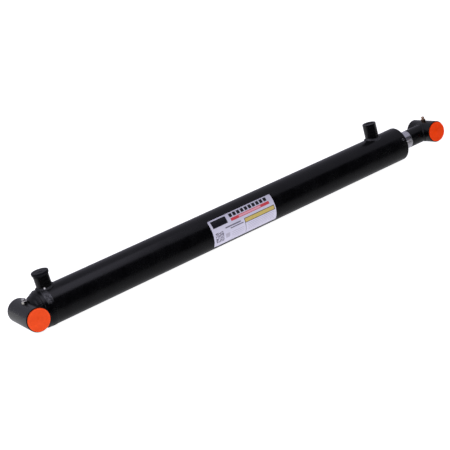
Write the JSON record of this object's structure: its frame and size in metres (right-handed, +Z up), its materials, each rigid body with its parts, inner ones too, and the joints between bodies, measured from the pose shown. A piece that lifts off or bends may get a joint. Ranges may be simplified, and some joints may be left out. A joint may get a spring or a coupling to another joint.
{
  "type": "hydraulic cylinder",
  "caption": "Black welded hydraulic cylinder with a chrome rod, a cross tube for a pin at each end, two plugged oil ports and orange dust caps.",
  "frame": {"origin": "on the surface that the barrel lies on, midway between the two pin axes", "axes": "+X along the barrel from the base pin to the rod pin, +Y along the pins with the dust caps on the -Y side, +Z up towards the ports"},
  "size_m": [0.8572, 0.0785, 0.088],
  "materials": {
    "black_paint": "semi-gloss black enamel",
    "painted_weld": "rippled weld bead under semi-gloss black enamel",
    "hard_chrome": "ground and polished hard chrome",
    "machined_steel": "turned steel, lightly oiled",
    "orange_plastic": "moulded orange polyethylene, satin",
    "black_plastic": "moulded black polyethylene, satin",
    "brass": "plated, bright",
    "ball_steel": "polished bearing steel",
    "nitrile": "matt black nitrile rubber",
    "polyurethane": "satin blue polyurethane",
    "filled_nylon": "matt glass-filled nylon",
    "label_film": "gloss white adhesive vinyl with plain printed blocks"
  },
  "bodies": {
    "barrel": {"barrel_tube": "black_paint", "base_end_cap": "black_paint", "barrel_girth_weld": "painted_weld", "base_cross_tube": "black_paint", "base_tube_weld_upper": "painted_weld", "base_tube_weld_lower": "painted_weld", "base_port_boss": "black_paint", "base_port_weld": "painted_weld", "rod_port_boss": "black_paint", "rod_port_weld": "painted_weld", "gland_head": "machined_steel", "gland_bushing": "filled_nylon", "gland_o_ring": "nitrile", "gland_backup_ring": "filled_nylon", "rod_seal": "polyurethane", "rod_wiper": "polyurethane", "gland_lock_screw": "machined_steel", "label_decal": "label_film", "base_grease_fitting": "brass"},
    "piston_rings": {"piston_seal": "polyurethane", "piston_wear_ring_rear": "filled_nylon", "piston_wear_ring_front": "filled_nylon"},
    "rod": {"piston_rod": "hard_chrome", "piston": "machined_steel", "piston_o_ring": "nitrile", "piston_nut": "machined_steel", "rod_end_neck": "black_paint", "rod_cross_tube": "black_paint", "rod_tube_weld": "painted_weld", "rod_grease_fitting": "brass"},
    "base_check_ball": {"base_grease_ball": "ball_steel"},
    "rod_check_ball": {"rod_grease_ball": "ball_steel"},
    "base_cap": {"base_dust_cap": "orange_plastic"},
    "rod_cap": {"rod_dust_cap": "orange_plastic"},
    "base_plug": {"base_port_plug": "black_plastic"},
    "rod_plug": {"rod_port_plug": "black_plastic"}
  },
  "joints": [
    {"name": "rod_slide", "type": "slide", "parent": "barrel", "child": "piston_rings", "axis": [1, 0, 0], "range_m": [0, 0.6096]},
    {"name": "rod_spin", "type": "hinge", "parent": "piston_rings", "child": "rod", "pos_m": [-0.31698, 0, 0.03076], "axis": [1, 0, 0], "continuous": true},
    {"name": "base_ball_press", "type": "slide", "parent": "barrel", "child": "base_check_ball", "axis": [0, 0, -1], "range_m": [0, 0.0012], "stiffness_N_per_m": 200, "springref_m": -0.001},
    {"name": "rod_ball_press", "type": "slide", "parent": "rod", "child": "rod_check_ball", "axis": [0, 0, -1], "range_m": [0, 0.0012], "stiffness_N_per_m": 200, "springref_m": -0.001},
    {"name": "base_cap_pull", "type": "slide", "parent": "barrel", "child": "base_cap", "axis": [0, -1, 0], "range_m": [0, 0.03]},
    {"name": "rod_cap_pull", "type": "slide", "parent": "rod", "child": "rod_cap", "axis": [0, -1, 0], "range_m": [0, 0.03]},
    {"name": "base_plug_pull", "type": "slide", "parent": "barrel", "child": "base_plug", "axis": [0, 0, 1], "range_m": [0, 0.025]},
    {"name": "rod_plug_pull", "type": "slide", "parent": "barrel", "child": "rod_plug", "axis": [0, 0, 1], "range_m": [0, 0.025]}
  ]
}
